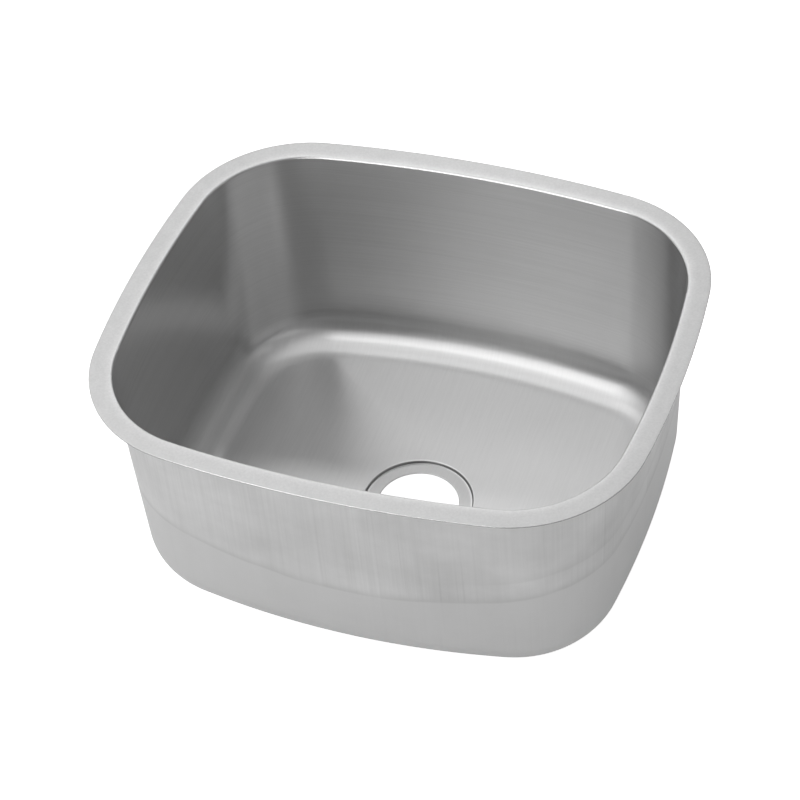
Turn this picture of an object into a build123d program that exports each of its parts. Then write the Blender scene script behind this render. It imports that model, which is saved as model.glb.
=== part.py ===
# Undermount kitchen sink: one drawn sheet-steel bowl with a flat flange, and the
# rubber pads bonded under its floor. Millimetres, +Z up, +X along the long sides.
# The origin is on the drain's axis, in the plane of the drain recess's underside.
from build123d import *

import os
from collections import namedtuple
from math import atan2, degrees, hypot, radians, sqrt, tan

os.makedirs("parts", exist_ok=True)

# ---- driving dimensions ----

sheet = 1.2  # thickness of the drawn sheet

opening_length = 536.0  # bowl opening, at the middle of its ends
opening_width = 455.0  # bowl opening, at the middle of its sides
opening_side_radius = 1260.0  # bow of the long sides
opening_end_radius = 1112.0  # bow of the short ends
opening_corner_radius = 113.0

flange_width = 24.0
flange_bend_radius = 3.0  # on the upper face, where the flange turns down into the wall
neck_height = 3.6  # upright strip under the flange, which holds the bend

bowl_depth = 252.4  # flange top to the floor's outer edge, before the cove
end_draft = 2.84  # degrees, lean of the short end walls
side_draft = 1.13  # degrees, lean of the long side walls
foot_side_radius = 840.0  # the same four curves where the walls reach the floor
foot_end_radius = 1065.0
foot_corner_radius = 106.0
cove_radius = 43.5  # between the walls and the floor

floor_fall = 12.8  # from the floor's outer edge to the lip of the drain recess

drain_hole_radius = 43.6
drain_seat_width = 14.7  # flat ring that the strainer's flange sits on
recess_depth = 3.4
recess_land_width = 2.6  # level ring round the recess, which its lip rolls into
recess_lip_radius = 2.0
recess_foot_radius = 0.6

pad_thickness = 3.0
pad_length = 105.0  # along X
pad_width = 200.0  # along Y
pad_corner_radius = 12.0
pad_gap_to_recess = 22.0  # from the outside of the drain recess to the pad

level_margin = 0.001  # how far an edge may be from a height and still count as level with it

# ---- heights and outlines that follow from them ----

seat_height = sheet
lip_height = seat_height + recess_depth
foot_height = lip_height + floor_fall
flange_top = foot_height + bowl_depth
neck_foot = flange_top - neck_height
wall_height = bowl_depth - neck_height
recess_radius = drain_hole_radius + drain_seat_width
land_radius = recess_radius + recess_land_width

Outline = namedtuple("Outline", "length width side_radius end_radius corner_radius")

opening = Outline(
    opening_length,
    opening_width,
    opening_side_radius,
    opening_end_radius,
    opening_corner_radius,
)
foot = Outline(
    opening_length - 2 * wall_height * tan(radians(end_draft)),
    opening_width - 2 * wall_height * tan(radians(side_draft)),
    foot_side_radius,
    foot_end_radius,
    foot_corner_radius,
)


# An outline moved outwards by the same distance all round.
def grown(outline, distance):
    return Outline(
        outline.length + 2 * distance,
        outline.width + 2 * distance,
        outline.side_radius + distance,
        outline.end_radius + distance,
        outline.corner_radius + distance,
    )


# Centre of the corner arc at +X +Y that is tangent to the side's arc and the end's arc,
# and the directions in which it meets them, in degrees from +X.
def corner_of(outline):
    side_centre = outline.width / 2 - outline.side_radius
    end_centre = outline.length / 2 - outline.end_radius
    from_side = outline.side_radius - outline.corner_radius
    from_end = outline.end_radius - outline.corner_radius
    apart = hypot(end_centre, side_centre)
    along = (from_side**2 - from_end**2 + apart**2) / (2 * apart)
    across = sqrt(from_side**2 - along**2)
    corner_x = (along * end_centre - across * side_centre) / apart
    corner_y = side_centre - (along * side_centre + across * end_centre) / apart
    meets_end = degrees(atan2(corner_y, corner_x - end_centre))
    meets_side = degrees(atan2(corner_y - side_centre, corner_x))
    return corner_x, corner_y, meets_end, meets_side


# A closed face of eight arcs: two ends, two sides and the four corners between them.
def eight_arc_face(height, radii, side_centre, end_centre, corner, meets_end, meets_side):
    side_radius, end_radius, corner_radius = radii
    corner_x, corner_y = corner
    side_sweep = 180 - 2 * meets_side
    end_sweep = 2 * meets_end
    corner_sweep = meets_side - meets_end
    with BuildSketch(Plane.XY.offset(height)) as face:
        with BuildLine():
            CenterArc((end_centre, 0), end_radius, -meets_end, end_sweep)
            CenterArc((corner_x, corner_y), corner_radius, meets_end, corner_sweep)
            CenterArc((0, side_centre), side_radius, meets_side, side_sweep)
            CenterArc((-corner_x, corner_y), corner_radius, 180 - meets_side, corner_sweep)
            CenterArc((-end_centre, 0), end_radius, 180 - meets_end, end_sweep)
            CenterArc((-corner_x, -corner_y), corner_radius, 180 + meets_end, corner_sweep)
            CenterArc((0, -side_centre), side_radius, 180 + meets_side, side_sweep)
            CenterArc((corner_x, -corner_y), corner_radius, 360 - meets_side, corner_sweep)
        make_face()
    return face.sketch


def bowed_face(height, outline):
    corner_x, corner_y, meets_end, meets_side = corner_of(outline)
    return eight_arc_face(
        height,
        (outline.side_radius, outline.end_radius, outline.corner_radius),
        outline.width / 2 - outline.side_radius,
        outline.length / 2 - outline.end_radius,
        (corner_x, corner_y),
        meets_end,
        meets_side,
    )


# The circle round the recess, cut where its direction equals that of the outline above
# it, so that the floor runs from one to the other without a crease.
def ring_face(height, radius, outline):
    meets_end, meets_side = corner_of(outline)[2:]
    return eight_arc_face(height, (radius, radius, radius), 0, 0, (0, 0), meets_end, meets_side)


# The edges of a part that lie level at a height.
def edges_at(part, height):
    return part.edges().filter_by_position(Axis.Z, height - level_margin, height + level_margin)


# The bowl's hollow as a solid, moved outwards by a distance: none gives the wet face,
# one sheet the outside, and more the far face of what is bonded to the outside.
def drawn_form(distance):
    foot_level = foot_height - distance
    neck_face = bowed_face(neck_foot, grown(opening, distance))
    foot_face = bowed_face(foot_level, grown(foot, distance))
    land_face = ring_face(lip_height - distance, land_radius + distance, grown(foot, distance))
    with BuildPart() as form:
        loft(sections=[neck_face, foot_face, land_face], ruled=True)
        fillet(edges_at(form, foot_level), radius=cove_radius + distance)
        extrude(neck_face, amount=neck_height)
    return form.part


# ---- the bowl, with its flange and drain recess ----

with BuildPart() as bowl:
    add(drawn_form(sheet))
    with BuildSketch():
        Circle(recess_radius + sheet)
    extrude(amount=lip_height)
    extrude(bowed_face(flange_top - sheet, grown(opening, flange_width)), amount=sheet)
    add(drawn_form(0), mode=Mode.SUBTRACT)
    with BuildSketch(Plane.XY.offset(seat_height)):
        Circle(recess_radius)
    extrude(amount=recess_depth, mode=Mode.SUBTRACT)
    with Locations((0, 0, seat_height)):
        Hole(drain_hole_radius)

    # The flange turns down into the wall: one bend on the upper face, and one on the
    # lower face that is smaller by the sheet.
    flange_upper = bowl.faces().filter_by(GeomType.PLANE).sort_by(Axis.Z)[-1]
    fillet(flange_upper.inner_wires()[0].edges(), radius=flange_bend_radius)
    flange_lower = bowl.faces().filter_by(GeomType.PLANE).sort_by(Axis.Z)[-2]
    fillet(flange_lower.inner_wires()[0].edges(), radius=flange_bend_radius - sheet)

    # The drain recess: a rounded lip above its short wall and a rounded foot below,
    # each on both faces of the sheet.
    wet_lip = edges_at(bowl, lip_height).sort_by(SortBy.RADIUS)[0]
    fillet(wet_lip, radius=recess_lip_radius)
    dry_lip = edges_at(bowl, lip_height - sheet).sort_by(SortBy.RADIUS)[0]
    fillet(dry_lip, radius=recess_lip_radius - sheet)
    wet_foot = edges_at(bowl, seat_height).sort_by(SortBy.RADIUS)[-1]
    fillet(wet_foot, radius=recess_foot_radius)
    dry_foot = edges_at(bowl, 0).sort_by(SortBy.RADIUS)[-1]
    fillet(dry_foot, radius=recess_foot_radius + sheet)
bowl.part.label = "bowl"
export_step(bowl.part, "parts/bowl.step")


# ---- sound pads, bonded under the floor on either side of the drain recess ----

pad_centre = recess_radius + sheet + pad_gap_to_recess + pad_length / 2
floor_underside = drawn_form(sheet)
pad_underside = drawn_form(sheet + pad_thickness)

for name, side in (("pad_left", -1), ("pad_right", 1)):
    with BuildPart() as pad:
        add(pad_underside)
        add(floor_underside, mode=Mode.SUBTRACT)
        with BuildSketch(Plane.XY.offset(-pad_thickness)):
            with Locations((side * pad_centre, 0)):
                RectangleRounded(pad_length, pad_width, pad_corner_radius)
        extrude(amount=pad_thickness + foot_height, mode=Mode.INTERSECT)
    pad.part.label = name
    export_step(pad.part, f"parts/{name}.step")
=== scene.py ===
import math
import bpy
import numpy as np
from mathutils import Matrix, Vector


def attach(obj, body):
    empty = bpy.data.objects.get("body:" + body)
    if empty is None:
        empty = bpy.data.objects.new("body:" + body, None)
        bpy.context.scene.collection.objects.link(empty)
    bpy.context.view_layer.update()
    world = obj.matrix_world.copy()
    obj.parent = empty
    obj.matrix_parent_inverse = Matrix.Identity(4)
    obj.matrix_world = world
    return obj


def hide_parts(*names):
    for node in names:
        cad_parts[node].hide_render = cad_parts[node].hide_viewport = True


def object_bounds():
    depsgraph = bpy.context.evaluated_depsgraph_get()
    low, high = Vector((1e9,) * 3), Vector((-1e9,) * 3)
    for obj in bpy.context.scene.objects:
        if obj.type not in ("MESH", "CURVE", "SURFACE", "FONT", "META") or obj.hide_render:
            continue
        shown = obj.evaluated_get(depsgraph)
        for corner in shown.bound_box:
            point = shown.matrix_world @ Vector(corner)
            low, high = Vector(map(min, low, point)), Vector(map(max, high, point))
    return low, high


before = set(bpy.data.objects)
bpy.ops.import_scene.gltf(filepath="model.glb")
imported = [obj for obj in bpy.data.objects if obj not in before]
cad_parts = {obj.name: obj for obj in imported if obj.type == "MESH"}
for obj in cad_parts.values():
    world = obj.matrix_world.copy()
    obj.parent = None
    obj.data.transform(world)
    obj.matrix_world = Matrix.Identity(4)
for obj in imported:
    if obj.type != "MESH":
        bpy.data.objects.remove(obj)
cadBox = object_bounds()
print("frame loaded:", sorted(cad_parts))


# Rows of points become a closed tube: row i joins row i + 1, the last row joins the first,
# and so do the columns. Every face is a quad.
def closedGrid(points):
    rows, columns = points.shape[:2]
    index = np.arange(rows * columns).reshape(rows, columns)
    down = np.roll(index, -1, axis=0)
    quads = np.stack([index, np.roll(index, -1, axis=1), np.roll(down, -1, axis=1), down], axis=-1)
    return quads.reshape(-1, 4)


def meshObject(name, vertices, faces):
    mesh = bpy.data.meshes.new(name)
    mesh.from_pydata(vertices.tolist(), [], faces.tolist())
    mesh.shade_smooth()
    piece = bpy.data.objects.new(name, mesh)
    bpy.context.scene.collection.objects.link(piece)
    return piece


# One value or one vector for every point of a mesh, for its materials to read.
def setPointValues(piece, name, values):
    kind, key = ("FLOAT_VECTOR", "vector") if values.ndim == 3 else ("FLOAT", "value")
    attribute = piece.data.attributes.new(name, kind, "POINT")
    attribute.data.foreach_set(key, values.ravel().astype(np.float32))


# The bowl is one sheet of steel. Lengths are in metres and drafts in degrees.
bowlShape = {
    "sheet": 0.0012,
    "openingLength": 0.536, "openingWidth": 0.455,
    "openingSideRadius": 1.260, "openingEndRadius": 1.112, "openingCornerRadius": 0.113,
    "flangeWidth": 0.024, "flangeBendRadius": 0.003, "flangeEdgeBreak": 0.0004,
    "bowlDepth": 0.2524, "neckHeight": 0.0036,
    "endDraft": 2.84, "sideDraft": 1.13,
    "footSideRadius": 0.840, "footEndRadius": 1.065, "footCornerRadius": 0.106,
    "coveRadius": 0.0435, "floorFall": 0.0128,
    "holeRadius": 0.0436, "seatWidth": 0.0147, "recessDepth": 0.0034,
    "landWidth": 0.0026, "lipRadius": 0.0020, "recessFootRadius": 0.0006, "holeEdgeBreak": 0.0003,
    # mesh columns round the outline, and rows along each part of the section, both ends counted
    "sideColumns": 56, "endColumns": 44, "cornerColumns": 60,
    "bendRows": 11, "wallRows": 19, "coveRows": 28, "floorRows": 21,
    "lipRows": 9, "recessFootRows": 7, "seatRows": 7, "holeEdgeRows": 4,
    "flangeTopRows": 10, "flangeTopCrowding": 1.5, "flangeUnderRows": 7, "flangeEdgeRows": 5,
    # a smoother finish with a painted highlight in its lighter colour reaches from the bend across the
    # flange, and the brushing turns in the cove's top
    "polishedAndSheenBendRows": 5, "polishAndSheenReach": 0.009, "brushingTurnsWithin": 0.45,
    # painted shade (above 0) and painted highlight (below 0) at shares of the way down the lip and along the
    # recess's foot, and painted shade on the seat
    "lipPaintedShadeAndHighlight": ((0, 1 / 4, 1 / 2, 1), (-0.3, -0.1, 0.8, 1.0)),
    "recessFootPaintedShadeAndHighlight": ((0, 1 / 2, 5 / 6, 1), (1.0, 0.9, -0.5, -0.5)),
    "seatPaintedShade": 0.15,
}


# The eight arcs of a bowed rectangle as arrays. Each arc has a centre, a radius and a first
# and last direction; a corner's arc is tangent to the side's and to the end's, so its centre
# is (side radius - corner radius) from the side's centre and (end radius - corner radius)
# from the end's.
def outlineArcs(length, width, sideRadius, endRadius, cornerRadius):
    sideCentre = width / 2 - sideRadius
    endCentre = length / 2 - endRadius
    fromSide = sideRadius - cornerRadius
    fromEnd = endRadius - cornerRadius
    apart = math.hypot(endCentre, sideCentre)
    along = (fromSide**2 - fromEnd**2 + apart**2) / (2 * apart)
    across = math.sqrt(fromSide**2 - along**2)
    cornerX = (along * endCentre - across * sideCentre) / apart
    cornerY = sideCentre - (along * sideCentre + across * endCentre) / apart
    meetsEnd = math.atan2(cornerY, cornerX - endCentre)
    meetsSide = math.atan2(cornerY - sideCentre, cornerX)
    half, full = math.pi, 2 * math.pi
    return np.array([
        [endCentre, 0, endRadius, -meetsEnd, meetsEnd],
        [cornerX, cornerY, cornerRadius, meetsEnd, meetsSide],
        [0, sideCentre, sideRadius, meetsSide, half - meetsSide],
        [-cornerX, cornerY, cornerRadius, half - meetsSide, half - meetsEnd],
        [-endCentre, 0, endRadius, half - meetsEnd, half + meetsEnd],
        [-cornerX, -cornerY, cornerRadius, half + meetsEnd, half + meetsSide],
        [0, -sideCentre, sideRadius, half + meetsSide, full - meetsSide],
        [cornerX, -cornerY, cornerRadius, full - meetsSide, full - meetsEnd],
    ])


# Points and outward directions round an outline that is moved out by offset: centre +
# (radius + offset) * (cos a, sin a), with a running evenly from each arc's first direction
# to its last.
def outlinePoints(arcs, columns, offset):
    arc = np.repeat(np.arange(len(arcs)), columns)
    share = np.concatenate([np.arange(n) / n for n in columns])
    centreX, centreY, radius, first, last = arcs[arc].T
    angle = first + (last - first) * share
    outward = np.stack([np.cos(angle), np.sin(angle)], axis=-1)
    return np.stack([centreX, centreY], axis=-1) + (radius + offset)[:, None] * outward, outward


# The outlines that carry one face of the sheet, each as points and outward directions: the
# opening at the neck, the foot that the drafts leave of it at the floor, and the drain, whose
# points all lie on its axis and whose directions are the foot's.
def sheetOutlines(shape, offset):
    wallHeight = shape["bowlDepth"] - shape["neckHeight"]
    endInset = wallHeight * math.tan(math.radians(shape["endDraft"]))
    sideInset = wallHeight * math.tan(math.radians(shape["sideDraft"]))
    neckArcs = outlineArcs(
        shape["openingLength"], shape["openingWidth"],
        shape["openingSideRadius"], shape["openingEndRadius"], shape["openingCornerRadius"])
    footArcs = outlineArcs(
        shape["openingLength"] - 2 * endInset, shape["openingWidth"] - 2 * sideInset,
        shape["footSideRadius"], shape["footEndRadius"], shape["footCornerRadius"])
    columns = [shape[part + "Columns"] for part in ("end", "corner", "side", "corner")] * 2
    neck = outlinePoints(neckArcs, columns, offset)
    foot = outlinePoints(footArcs, columns, offset)
    return {"neck": neck, "foot": foot, "drain": (0, foot[1])}


# The flange's top stands above the ground by the sheet, the recess, the floor's fall and the
# bowl's depth.
def flangeHeight(shape):
    return shape["sheet"] + shape["recessDepth"] + shape["floorFall"] + shape["bowlDepth"]


# Flat points with their heights z.
def atHeight(flat, z):
    heights = np.broadcast_to(np.asarray(z)[..., None], flat.shape[:-1] + (1,))
    return np.concatenate([flat, heights], axis=-1)


# An arc of the section in n and z, as rows: centre + radius * (cos a, sin a), with a running
# evenly from one direction to another.
def sectionArc(centreN, centreZ, radius, first, last, rows):
    turn = first + (last - first) * np.linspace(0, 1, rows)[:, None]
    return centreN + radius * np.cos(turn), centreZ + radius * np.sin(turn)


# A curve of the section carried round an outline: its points moved outwards by n, at height z.
def carried(outline, n, z):
    points, outward = outline
    return atHeight(points + outward * n[..., None], z)


# One face of the sheet, from the flange's bend down to the edge of the drain hole. With
# n measured outwards and z up, each part is a curve in n and z that is carried round the
# outline: bend and cove are arcs tangent to their neighbours, the wall is a straight ruling
# between the neck's outline and the foot's, the floor a straight ruling from the cove to the
# recess, whose lip and foot are arcs too. offset moves the face out by the sheet or by none.
def sheetFace(shape, offset):
    outlines = sheetOutlines(shape, offset)
    neckPoint = outlines["neck"][0]
    footPoint, footOut = outlines["foot"]
    flangeLevel = flangeHeight(shape) - offset
    neckFoot = flangeHeight(shape) - shape["neckHeight"]
    seatLevel = shape["sheet"] - offset
    landLevel = seatLevel + shape["recessDepth"]
    footLevel = landLevel + shape["floorFall"]
    wallFall = neckFoot - footLevel
    recessRadius = shape["holeRadius"] + shape["seatWidth"] + offset
    landRadius = recessRadius + shape["landWidth"]

    # leans of the wall and of the floor, in the plane that holds z and the outward direction
    wallInset = ((neckPoint - footPoint) * footOut).sum(axis=1)
    wallLean = np.arctan2(wallInset, wallFall)
    floorRun = (footPoint * footOut).sum(axis=1) - landRadius
    floorLean = np.arctan2(shape["floorFall"], floorRun)

    # the bend, from level to upright
    bend = shape["flangeBendRadius"] - offset
    bendArc = sectionArc(bend, flangeLevel - bend, bend, math.pi / 2, math.pi, shape["bendRows"])
    bendRows = carried(outlines["neck"], *bendArc)

    # the wall stops where the cove begins; cove centre: coveRadius from wall and from floor
    cove = shape["coveRadius"] + offset
    total = wallLean + floorLean
    centreN = -cove * (np.cos(floorLean) - np.sin(wallLean)) / np.cos(total)
    centreZ = footLevel + cove * (np.cos(wallLean) - np.sin(floorLean)) / np.cos(total)
    coveTop = centreZ - cove * np.sin(wallLean)
    level = neckFoot + (coveTop - neckFoot) * np.linspace(0, 1, shape["wallRows"])[:, None]
    share = ((neckFoot - level) / wallFall)[..., None]
    wallRows = atHeight(neckPoint + (footPoint - neckPoint) * share, level)

    # the cove: its rows leave the wall's ruling by the arc's distance from the wall's line
    coveN, coveZ = sectionArc(centreN, centreZ, cove, -wallLean, floorLean - math.pi / 2, shape["coveRows"])
    share = np.clip((neckFoot - coveZ) / wallFall, 0, 1)
    ruling = neckPoint + (footPoint - neckPoint) * share[..., None]
    coveRows = carried((ruling, footOut), coveN - wallInset * (1 - share), coveZ)[1:]

    # the floor, down to the level land round the recess
    landRow = atHeight(footOut * landRadius, landLevel)
    share = np.linspace(0, 1, shape["floorRows"])[1:, None, None]
    floorRows = coveRows[-1] * (1 - share) + landRow * share

    # lip, recess wall, recess foot and seat, all round the drain
    lip = shape["lipRadius"] - offset
    curl = shape["recessFootRadius"] + offset
    lipN, lipZ = sectionArc(recessRadius + lip, landLevel - lip, lip, math.pi / 2, math.pi, shape["lipRows"])
    curlN, curlZ = sectionArc(
        recessRadius - curl, seatLevel + curl, curl, 0, -math.pi / 2, shape["recessFootRows"])
    seatEnd = shape["holeRadius"] + shape["holeEdgeBreak"]
    seatN = np.linspace(recessRadius - curl, seatEnd, shape["seatRows"])[1:, None]
    seatZ = np.full(seatN.shape, seatLevel)
    recessRows = carried(
        outlines["drain"], np.concatenate([lipN, curlN, seatN]), np.concatenate([lipZ, curlZ, seatZ]))
    return bendRows, wallRows, coveRows, floorRows, recessRows


# The flange lies level outside the opening. Its parts are the rounded top of its trimmed edge,
# the top from there to the bend, whose rows crowd towards the bend by a power of their share of
# the way, the underside from the bend outwards, and the rounded bottom of the edge.
def flangeParts(shape, opening):
    bend, edge, rows = shape["flangeBendRadius"], shape["flangeEdgeBreak"], shape["flangeEdgeRows"]
    edgeN = shape["flangeWidth"] - edge
    top = flangeHeight(shape)
    under = top - shape["sheet"]
    topEdge = carried(opening, *sectionArc(edgeN, top - edge, edge, 0, math.pi / 2, rows))
    share = np.linspace(1, 0, shape["flangeTopRows"])[1:-1, None] ** shape["flangeTopCrowding"]
    topFlat = carried(opening, bend + (edgeN - bend) * share, top)
    underN = np.linspace(bend, edgeN, shape["flangeUnderRows"])[1:-1, None]
    underFlat = carried(opening, underN, under)
    underEdge = carried(opening, *sectionArc(edgeN, under + edge, edge, -math.pi / 2, 0, rows))
    return topEdge, topFlat, underFlat, underEdge


# The hole's edge: a quarter arc above and one below, both tangent to the hole's wall.
def holeEdge(shape, drain):
    edge, rows = shape["holeEdgeBreak"], shape["holeEdgeRows"]
    centreN = shape["holeRadius"] + edge
    upper = carried(drain, *sectionArc(centreN, shape["sheet"] - edge, edge, math.pi / 2, math.pi, rows))
    lower = carried(drain, *sectionArc(centreN, edge, edge, math.pi, 1.5 * math.pi, rows))
    return np.concatenate([upper[1:], lower[:-1]])


# The bowl's materials in the order of their slots, each with the zones of the section it covers.
steelZones = {
    "flangeSteel": ["rim", "flange", "roll"],
    "wetSteel": ["bend", "wall", "cove", "floor", "recess", "hole"],
    "drySteel": ["dry"],
    "cutSteel": ["cut"],
    "edgeSteel": ["edge"],
}


# Gives each row its material by its zone, and each point what the materials read.
def setFinishes(piece, shape, points, zones, openingPoint):
    slots = {zone: slot for slot, covered in enumerate(steelZones.values()) for zone in covered}
    rowSlot = np.array([slots[zone] for zone in zones], dtype=np.int32)
    piece.data.polygons.foreach_set("material_index", np.repeat(rowSlot, points.shape[1]))

    # floorShare runs from 0 on the wall to 1 on the floor, and rises through the cove's upper part
    floorShare = np.zeros(points.shape[:2])
    downCove = np.linspace(0, 1, np.count_nonzero(zones == "cove"))
    floorShare[zones == "cove"] = np.clip(downCove / shape["brushingTurnsWithin"], 0, 1)[:, None]
    floorShare[np.isin(zones, ["floor", "recess", "hole"])] = 1
    setPointValues(piece, "floorShare", floorShare)

    # shade is painted shade: 1 on the recess's short wall, and below 0 a painted highlight on the rims above
    # and below it
    paintedShadeAndHighlight = np.concatenate([
        np.interp(np.linspace(0, 1, shape["lipRows"]), *shape["lipPaintedShadeAndHighlight"]),
        np.interp(np.linspace(0, 1, shape["recessFootRows"]), *shape["recessFootPaintedShadeAndHighlight"]),
        np.full(shape["seatRows"] - 1, shape["seatPaintedShade"])])
    shade = np.zeros(points.shape[:2])
    shade[zones == "recess"] = paintedShadeAndHighlight[:, None]
    setPointValues(piece, "shade", shade)

    # polishAndSheen is 1 on the upper bend and fades out across the flange, where the die rubbed it
    # smoother; the lighter colour it brings there is a painted highlight
    pastBend = np.linalg.norm(points[..., :2] - openingPoint, axis=-1) - shape["flangeBendRadius"]
    fading = np.clip(1 - pastBend / shape["polishAndSheenReach"], 0, 1) ** 2
    polishAndSheen = np.where((zones == "flange")[:, None], fading, 0)
    polishAndSheen[zones == "roll"] = 1
    setPointValues(piece, "polishAndSheen", polishAndSheen)

    # drawnFrom is the place on the opening that a point was drawn down from, so marks of the
    # drawing run straight down the walls
    drawn = points.copy()
    drawn[..., :2] = openingPoint
    setPointValues(piece, "drawnFrom", drawn)


# The shell goes once round the section of the sheet: top of the flange, wet face, hole, dry
# face and underside of the flange.
def makeBowl(shape):
    outlines = sheetOutlines(shape, 0)
    topEdge, topFlat, underFlat, underEdge = flangeParts(shape, outlines["neck"])
    bendRows, wallRows, coveRows, floorRows, recessRows = sheetFace(shape, 0)
    # the upper bend rows take the flange's finish, with its painted highlight
    polishedAndSheen = shape["polishedAndSheenBendRows"]
    parts = [
        ("edge", topEdge[:-1]), ("rim", topEdge[-1:]), ("flange", topFlat),
        ("roll", bendRows[:polishedAndSheen]), ("bend", bendRows[polishedAndSheen:]), ("wall", wallRows),
        ("cove", coveRows), ("floor", floorRows), ("recess", recessRows),
        ("hole", holeEdge(shape, outlines["drain"]))]
    parts += [("dry", rows[::-1]) for rows in sheetFace(shape, shape["sheet"])[::-1]]
    parts += [("dry", underFlat), ("cut", underEdge)]
    points = np.concatenate([rows for _, rows in parts])
    zones = np.concatenate([[zone] * len(rows) for zone, rows in parts])
    piece = meshObject("bowlShell", points.reshape(-1, 3), closedGrid(points))
    setFinishes(piece, shape, points, zones, outlines["neck"][0])
    return piece


bowl = makeBowl(bowlShape)
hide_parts("bowl")
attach(bowl, "root")
print("bowl made:", len(bowl.data.polygons), "faces")


# Adds one node. A socket among the inputs is linked, any other value is set.
def addNode(tree, kind, inputs=None, **settings):
    node = tree.nodes.new("ShaderNode" + kind)
    for key, value in settings.items():
        setattr(node, key, value)
    for key, value in (inputs or {}).items():
        if isinstance(value, bpy.types.NodeSocket):
            tree.links.new(value, node.inputs[key])
        else:
            node.inputs[key].default_value = value
    return node


def newTree(name):
    material = bpy.data.materials.new(name)
    material.use_nodes = True
    material.node_tree.nodes.clear()
    return material, material.node_tree


def setPrincipled(tree, inputs):
    shader = addNode(tree, "BsdfPrincipled", inputs)
    addNode(tree, "OutputMaterial", {"Surface": shader.outputs[0]})


def pointValue(tree, name):
    return addNode(tree, "Attribute", attribute_name=name).outputs["Fac"]


def maths(tree, operation, *values):
    return addNode(tree, "Math", dict(enumerate(values)), operation=operation).outputs[0]


def vectorMaths(tree, operation, *values):
    return addNode(tree, "VectorMath", dict(enumerate(values)), operation=operation).outputs[0]


def between(tree, value, start, end, low, high):
    return addNode(tree, "MapRange", {
        "Value": value, "From Min": start, "From Max": end, "To Min": low, "To Max": high}).outputs[0]


# The Mix node has its two floats at 2 and 3.
def mixed(tree, share, first, second):
    return addNode(tree, "Mix", {"Factor": share, 2: first, 3: second}).outputs[0]


# The Mix node has its two vectors at 4 and 5, and their mix at 1.
def mixedVectors(tree, share, first, second):
    return addNode(tree, "Mix", {"Factor": share, 4: first, 5: second}, data_type="VECTOR").outputs[1]


def grey(tree, value):
    return addNode(tree, "CombineColor", {"Red": value, "Green": value, "Blue": value}).outputs[0]


noiseTraits = {"roughness": 0.6, "middle": 0.5, "low": 0.25, "high": 0.75}  # mostly from low to high


# Noise with so many cells per metre along x, y and z. It's drawn out where they are few.
def streaks(tree, place, cells, detail):
    noise = addNode(tree, "TexNoise", {
        "Vector": vectorMaths(tree, "MULTIPLY", place, cells),
        "Scale": 1.0, "Detail": detail, "Roughness": noiseTraits["roughness"]})
    return noise.outputs["Fac"]


def ranged(tree, value, low, high):
    return between(tree, value, noiseTraits["low"], noiseTraits["high"], low, high)


# The same noise, swinging to both sides of zero.
def swing(tree, place, cells, detail):
    return maths(tree, "SUBTRACT", streaks(tree, place, cells, detail), noiseTraits["middle"])


# Colours, roughness and lengths of the finishes. A noise is its cells per metre along x, y and
# z, and its detail; a tone is how far a mark changes the colour.
steel = {
    # inside, brushed
    "wallColour": 0.62, "wallRoughness": 0.276, "wallUneven": (1.0, 1.06),
    "wallStreak": 0.05, "wallNoise": ((5, 5, 380), 4),
    # the floor's colour is lighter than the walls' on the same steel: painted light that brightens the floor
    # and the cove's highlight
    "floorColour": 0.70, "floorRoughness": 0.31, "floorUneven": (0.90, 1.10),
    "floorStreak": 0.035, "floorNoise": ((420, 20, 20), 3),
    # the last is how far painted shade darkens the recess
    "wetAnisotropy": 0.65, "recessPaintedShade": 0.62,
    # outside, as drawn
    "dryColour": 0.60, "dryRoughness": 0.45, "dryUneven": 0.12, "dryAnisotropy": 0.50,
    "flatTangent": (0.001, 0, 0),
    "streakTone": 0.24, "streakNoise": ((380, 380, 5), 4),
    "scratchTone": 0.07, "scratchNoise": ((230, 230, 6), 1), "scratchSpan": (0.64, 0.78),
    "denseRange": (0.25, 1.35), "denseNoise": ((11, 11, 6), 1),
    "broadTone": 0.10, "broadNoise": ((45, 45, 3), 3),
    "smudgeTone": 0.42, "smudgeNoise": ((8, 8, 13), 4),
    # the draw line
    "lineHeight": 0.108, "lineReach": 0.2275, "lineRise": 0.40,
    "lineWander": 0.006, "wanderNoise": ((14, 14, 0), 2),
    "lineEdge": (-0.0020, 0.0004), "lineFade": 0.012, "lineFading": 1.6, "lineTone": 0.14,
    "patchRange": (0.45, 1.0), "patchNoise": ((30, 30, 12), 2),
    "calmBelow": 0.30, "calmEdge": (-0.001, 0.006),
    "secondLineAbove": 0.028, "secondLineTone": 0.06, "secondLineSpan": (0.10, 0.20),
    # the flange
    "flangeColour": 0.73, "flangeRoughness": 0.60, "flangeUneven": 0.15,
    "flangeGrain": 0.26, "grainNoise": ((420, 420, 420), 4),
    "flangeCloud": 0.12, "cloudNoise": ((55, 55, 55), 4),
    # near the bend the flange is smoother, and its lighter colour there is a painted highlight
    "paintedSheenColour": 0.78, "polishRoughness": 0.50,
    # its trimmed edge; the dark colour of the sheared part under it is painted shade
    "edgeColour": 0.70, "edgeRoughness": 0.16, "cutColour": 0.10, "cutRoughness": 0.50,
    "trimGrain": 0.15, "trimNoise": ((600, 600, 600), 3),
}


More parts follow.
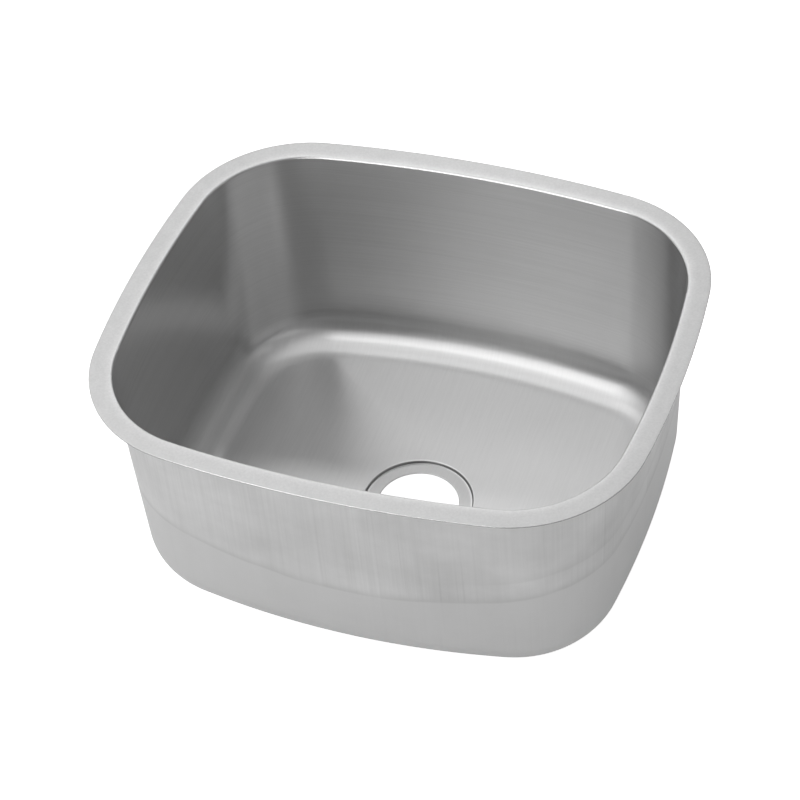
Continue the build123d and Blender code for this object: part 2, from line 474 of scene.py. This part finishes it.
def wetSteel(look):
    material, tree = newTree("wetSteel")
    place = addNode(tree, "TexCoord").outputs["Object"]
    normal = addNode(tree, "NewGeometry").outputs["Normal"]
    share = pointValue(tree, "floorShare")
    # grooves run level on the walls and along y on the floor; light spreads across them
    level = vectorMaths(tree, "CROSS_PRODUCT", (0, 0, 1), normal)
    slope = vectorMaths(tree, "NORMALIZE", vectorMaths(tree, "CROSS_PRODUCT", normal, level))
    across = mixedVectors(tree, share, slope, (1, 0, 0))
    wall = streaks(tree, place, *look["wallNoise"])
    floor = streaks(tree, place, *look["floorNoise"])
    wallTone = ranged(tree, wall, 1 - look["wallStreak"], 1 + look["wallStreak"])
    floorTone = ranged(tree, floor, 1 - look["floorStreak"], 1 + look["floorStreak"])
    tone = mixed(tree, share, wallTone, floorTone)
    # painted shade darkens the recess's short wall, and painted highlights lighten its rims a little
    paintedLightFactor = maths(tree, "MULTIPLY_ADD", pointValue(tree, "shade"), -look["recessPaintedShade"], 1.0)
    tone = maths(tree, "MULTIPLY", tone, paintedLightFactor)
    # the floor's lighter colour is painted light
    colour = mixed(tree, share, look["wallColour"], look["floorColour"])
    roughness = mixed(tree, share, look["wallRoughness"], look["floorRoughness"])
    wallUneven = ranged(tree, wall, *look["wallUneven"])
    floorUneven = ranged(tree, floor, *look["floorUneven"])
    uneven = mixed(tree, share, wallUneven, floorUneven)
    setPrincipled(tree, {
        "Base Color": grey(tree, maths(tree, "MULTIPLY", tone, colour)),
        "Metallic": 1.0, "Roughness": maths(tree, "MULTIPLY", roughness, uneven),
        "Anisotropic": look["wetAnisotropy"], "Tangent": across})
    return material


# How far a point lies above the draw line, where the blank left the draw ring. The line has its
# height at lineReach from the drain's axis, rises from there towards the corners, and wanders.
def aboveDrawLine(tree, look, drawn):
    flat = vectorMaths(tree, "MULTIPLY", drawn, (1, 1, 0))
    reach = addNode(tree, "VectorMath", {0: flat}, operation="LENGTH").outputs["Value"]
    height = addNode(tree, "SeparateXYZ", {0: drawn}).outputs["Z"]
    atAxis = look["lineHeight"] - look["lineRise"] * look["lineReach"]
    lineHeight = maths(tree, "MULTIPLY_ADD", reach, look["lineRise"], atAxis)
    wander = streaks(tree, drawn, *look["wanderNoise"])
    lineHeight = maths(tree, "MULTIPLY_ADD", wander, look["lineWander"], lineHeight)
    return maths(tree, "SUBTRACT", height, lineHeight)


# A mark along a height: full just above it, sharp below and fading out upwards.
def contour(tree, look, above):
    start, full = look["lineEdge"]
    sharp = between(tree, above, start, full, 0.0, 1.0)
    soft = between(tree, above, full, look["lineFade"], 1.0, 0.0)
    return maths(tree, "MULTIPLY", sharp, maths(tree, "POWER", soft, look["lineFading"]))


def drySteel(look):
    material, tree = newTree("drySteel")
    drawn = addNode(tree, "Attribute", attribute_name="drawnFrom").outputs["Vector"]
    normal = addNode(tree, "NewGeometry").outputs["Normal"]
    level = vectorMaths(tree, "CROSS_PRODUCT", (0, 0, 1), normal)
    level = vectorMaths(tree, "ADD", level, look["flatTangent"])  # x where it's flat

    # the draw line, in uneven patches; the steel below it is calmer
    above = aboveDrawLine(tree, look, drawn)
    stretched = between(tree, above, *look["calmEdge"], look["calmBelow"], 1.0)
    patches = ranged(tree, streaks(tree, drawn, *look["patchNoise"]), *look["patchRange"])
    line = maths(tree, "MULTIPLY", contour(tree, look, above), patches)

    # a second, fainter one higher up where the side turns into the front at the right
    second = contour(tree, look, maths(tree, "SUBTRACT", above, look["secondLineAbove"]))
    sideways = addNode(tree, "SeparateXYZ", {0: drawn}).outputs["X"]
    right = between(tree, sideways, *look["secondLineSpan"], 0.0, 1.0)
    second = maths(tree, "MULTIPLY", second, right)

    # streaks of the drawing in uneven patches, some darker scratches, broad waves and smudges
    dense = ranged(tree, streaks(tree, drawn, *look["denseNoise"]), *look["denseRange"])
    fine = swing(tree, drawn, *look["streakNoise"])
    broad = swing(tree, drawn, *look["broadNoise"])
    smudge = swing(tree, drawn, *look["smudgeNoise"])
    scratch = between(tree, streaks(tree, drawn, *look["scratchNoise"]), *look["scratchSpan"], 0.0, 1.0)
    tone = maths(tree, "MULTIPLY", fine, look["streakTone"])
    tone = maths(tree, "MULTIPLY_ADD", scratch, -look["scratchTone"], tone)
    tone = maths(tree, "MULTIPLY", tone, dense)
    tone = maths(tree, "MULTIPLY_ADD", broad, look["broadTone"], tone)
    tone = maths(tree, "MULTIPLY_ADD", smudge, look["smudgeTone"], tone)
    tone = maths(tree, "MULTIPLY", tone, stretched)
    tone = maths(tree, "MULTIPLY_ADD", line, -look["lineTone"], tone)
    tone = maths(tree, "MULTIPLY_ADD", second, -look["secondLineTone"], tone)
    setPrincipled(tree, {
        "Base Color": grey(tree, maths(tree, "MULTIPLY", maths(tree, "ADD", tone, 1.0), look["dryColour"])),
        "Metallic": 1.0,
        "Roughness": maths(tree, "MULTIPLY_ADD", fine, look["dryUneven"], look["dryRoughness"]),
        "Anisotropic": look["dryAnisotropy"], "Tangent": level})
    return material


def flangeSteel(look):
    material, tree = newTree("flangeSteel")
    place = addNode(tree, "TexCoord").outputs["Object"]
    grain = swing(tree, place, *look["grainNoise"])
    cloud = swing(tree, place, *look["cloudNoise"])
    tone = maths(tree, "MULTIPLY_ADD", grain, look["flangeGrain"], 1.0)
    tone = maths(tree, "MULTIPLY_ADD", cloud, look["flangeCloud"], tone)
    polishAndSheen = pointValue(tree, "polishAndSheen")
    # towards the bend the colour lightens as a painted highlight
    colour = mixed(tree, polishAndSheen, look["flangeColour"], look["paintedSheenColour"])
    roughness = mixed(tree, polishAndSheen, look["flangeRoughness"], look["polishRoughness"])
    setPrincipled(tree, {
        "Base Color": grey(tree, maths(tree, "MULTIPLY", tone, colour)), "Metallic": 1.0,
        "Roughness": maths(tree, "MULTIPLY_ADD", grain, look["flangeUneven"], roughness)})
    return material


# The trimmed edge: its upper rounding is burnished to a shine, and the sheared part below is painted dark as
# shade under the flange.
def trimSteel(look, kind):
    material, tree = newTree(kind + "Steel")
    place = addNode(tree, "TexCoord").outputs["Object"]
    colour, spread = look[kind + "Colour"], look["trimGrain"]
    grain = streaks(tree, place, *look["trimNoise"])
    setPrincipled(tree, {
        "Base Color": grey(tree, ranged(tree, grain, colour * (1 - spread), colour * (1 + spread))),
        "Metallic": 1.0, "Roughness": look[kind + "Roughness"]})
    return material


finishes = {
    "flangeSteel": flangeSteel(steel), "wetSteel": wetSteel(steel), "drySteel": drySteel(steel),
    "cutSteel": trimSteel(steel, "cut"), "edgeSteel": trimSteel(steel, "edge"),
}
for name in steelZones:
    bowl.data.materials.append(finishes[name])
print("steel made:", len(finishes), "finishes")


# The sound-deadening pads are pressed rubber.
rubber = {
    "colour": 0.035, "roughness": 0.72, "uneven": 0.1, "grainTone": 0.5,
    "grainNoise": ((900, 900, 900), 3), "grainBump": 0.25, "bumpHeight": 0.0003,
}


def padRubber(look):
    material, tree = newTree("padRubber")
    place = addNode(tree, "TexCoord").outputs["Object"]
    grain = streaks(tree, place, *look["grainNoise"])
    swung = maths(tree, "SUBTRACT", grain, noiseTraits["middle"])
    tone = maths(tree, "MULTIPLY_ADD", swung, look["grainTone"], 1.0)
    bump = addNode(tree, "Bump", {
        "Height": grain, "Strength": look["grainBump"], "Distance": look["bumpHeight"]}).outputs[0]
    setPrincipled(tree, {
        "Base Color": grey(tree, maths(tree, "MULTIPLY", tone, look["colour"])),
        "Roughness": maths(tree, "MULTIPLY_ADD", grain, look["uneven"], look["roughness"]),
        "Normal": bump})
    return material


padMaterial = padRubber(rubber)
for name in ("pad_left", "pad_right"):
    pad = bpy.data.objects[name]
    pad.data.materials.clear()
    pad.data.materials.append(padMaterial)
print("rubber made")


studio = {
    "floorSize": 12.0, "floorColour": 0.85, "seenGlow": 0.75, "mirroredGlow": 0.12, "worldStrength": 0.30,
}


# The floor shades as pale paint, and to the eye, in reflections and through glass it adds a
# level of its own, so it stays near white while it keeps a faint shadow.
def floorPaint(look):
    material, tree = newTree("floorPaint")
    paint = addNode(tree, "BsdfDiffuse", {"Color": (look["floorColour"],) * 3 + (1,)})
    path = addNode(tree, "LightPath").outputs
    seen = maths(tree, "MAXIMUM", path["Is Camera Ray"], path["Is Transmission Ray"])
    level = maths(tree, "MULTIPLY", seen, look["seenGlow"])
    level = maths(tree, "MULTIPLY_ADD", path["Is Glossy Ray"], look["mirroredGlow"], level)
    glow = addNode(tree, "Emission", {"Color": (1, 1, 1, 1), "Strength": level})
    both = addNode(tree, "AddShader", {0: paint.outputs[0], 1: glow.outputs[0]})
    addNode(tree, "OutputMaterial", {"Surface": both.outputs[0]})
    return material


def makeFloor(look):
    corners = np.array([(-1, -1, 0), (1, -1, 0), (1, 1, 0), (-1, 1, 0)]) * look["floorSize"] / 2
    piece = meshObject("studioFloor", corners, np.array([(0, 1, 2, 3)]))
    piece.data.materials.append(floorPaint(look))
    return piece


# The world is white to the eye and dimmer as a light.
def makeWorld(look):
    world = bpy.data.worlds.new("studioWorld")
    world.use_nodes = True
    tree = world.node_tree
    background = tree.nodes["Background"]
    background.inputs["Color"].default_value = (1, 1, 1, 1)
    seen = addNode(tree, "LightPath").outputs["Is Camera Ray"]
    tree.links.new(mixed(tree, seen, look["worldStrength"], 1.0), background.inputs["Strength"])
    bpy.context.scene.world = world


floor = makeFloor(studio)
makeWorld(studio)


# A unit direction, turned from the front (-y) towards +x and then lifted; both in degrees.
def direction(turn, lift):
    turn, lift = math.radians(turn), math.radians(lift)
    return Vector((math.sin(turn) * math.cos(lift), -math.cos(turn) * math.cos(lift), math.sin(lift)))


# The camera looks back along its own axis at a point on the flange's plane. aimRight and
# aimUp slide it across the view, so the picture needs no lens shift.
view = {
    "azimuth": 22.624, "elevation": 45.202, "roll": -5.210,  # degrees
    "distance": 2.9263, "aimRight": 0.00210, "aimUp": 0.07864,
    "focalPixels": 2920.7, "framePixels": 800, "sensor": 36.0,
    "nearest": 0.05, "farthest": 50,
}


def makeCamera(view, aimHeight):
    azimuth, roll = math.radians(view["azimuth"]), math.radians(view["roll"])
    back = direction(view["azimuth"], view["elevation"])
    level = Vector((math.cos(azimuth), math.sin(azimuth), 0))
    upright = back.cross(level)
    right = level * math.cos(roll) + upright * math.sin(roll)
    up = upright * math.cos(roll) - level * math.sin(roll)
    eye = back * view["distance"] - right * view["aimRight"] - up * view["aimUp"] + Vector((0, 0, aimHeight))
    data = bpy.data.cameras.new("photoCamera")
    data.sensor_width = view["sensor"]
    data.lens = view["focalPixels"] / view["framePixels"] * view["sensor"]
    data.clip_start, data.clip_end = view["nearest"], view["farthest"]
    camera = bpy.data.objects.new("photoCamera", data)
    bpy.context.scene.collection.objects.link(camera)
    camera.matrix_world = Matrix.Translation(eye) @ Matrix((right, up, back)).transposed().to_4x4()
    bpy.context.scene.camera = camera


makeCamera(view, cadBox[1].z)
bpy.context.scene.view_settings.view_transform = "Standard"


# Soft panels on a dome round the sink, all aimed at it. turn counts from the front (-y) towards
# +x; width and height are shares of the dome's radius; glow is a panel's brightness as the steel
# mirrors it, where 1 is paper white.
dome = {"radius": 1.7, "aimHeight": 0.15}
panels = [
    {"turn": 335, "lift": 42, "width": 0.35, "height": 0.60, "glow": 1.45},
    {"turn": 315, "lift": 45, "width": 0.60, "height": 0.80, "glow": 0.60},
    {"turn": 285, "lift": 45, "width": 0.50, "height": 0.80, "glow": 0.38},
    {"turn": 350, "lift": 10, "width": 0.80, "height": 0.25, "glow": 5.50},
    {"turn": 50, "lift": 22, "width": 0.70, "height": 0.30, "glow": 0.45},
    {"turn": 190, "lift": 38, "width": 0.35, "height": 0.40, "glow": 2.00},
    {"turn": 225, "lift": 40, "width": 0.60, "height": 0.60, "glow": 0.23},
    {"turn": 240, "lift": 60, "width": 0.70, "height": 0.50, "glow": 0.75},
    {"turn": 250, "lift": 12, "width": 1.00, "height": 0.30, "glow": 1.40},
    {"turn": 0, "lift": 88, "width": 0.70, "height": 0.70, "glow": 0.55},
    {"turn": 0, "lift": 88, "width": 1.30, "height": 1.30, "glow": 0.24},
]

# One more panel lies level over the paper at the right, which the sink's right end mirrors.
paperPanel = {"x": 0.64, "y": 0.32, "z": 0.42, "size": 0.40, "glow": 1.1}


# An area lamp that shines down until it's turned.
def makeLamp(name, width, height, glow, place):
    data = bpy.data.lights.new(name, "AREA")
    data.shape = "RECTANGLE"
    data.size, data.size_y = width, height
    data.energy = math.pi * width * height * glow
    lamp = bpy.data.objects.new(name, data)
    lamp.location = place
    bpy.context.scene.collection.objects.link(lamp)
    return lamp


def makePanel(panel, dome):
    outward = direction(panel["turn"], panel["lift"])
    width, height = panel["width"] * dome["radius"], panel["height"] * dome["radius"]
    place = outward * dome["radius"] + Vector((0, 0, dome["aimHeight"]))
    lamp = makeLamp("softPanel", width, height, panel["glow"], place)
    lamp.rotation_euler = (-outward).to_track_quat("-Z", "Y").to_euler()


def makePaperPanel(panel):
    place = (panel["x"], panel["y"], panel["z"])
    makeLamp("paperPanel", panel["size"], panel["size"], panel["glow"], place)


for panel in panels:
    makePanel(panel, dome)
makePaperPanel(paperPanel)
print("floor, light and camera made")
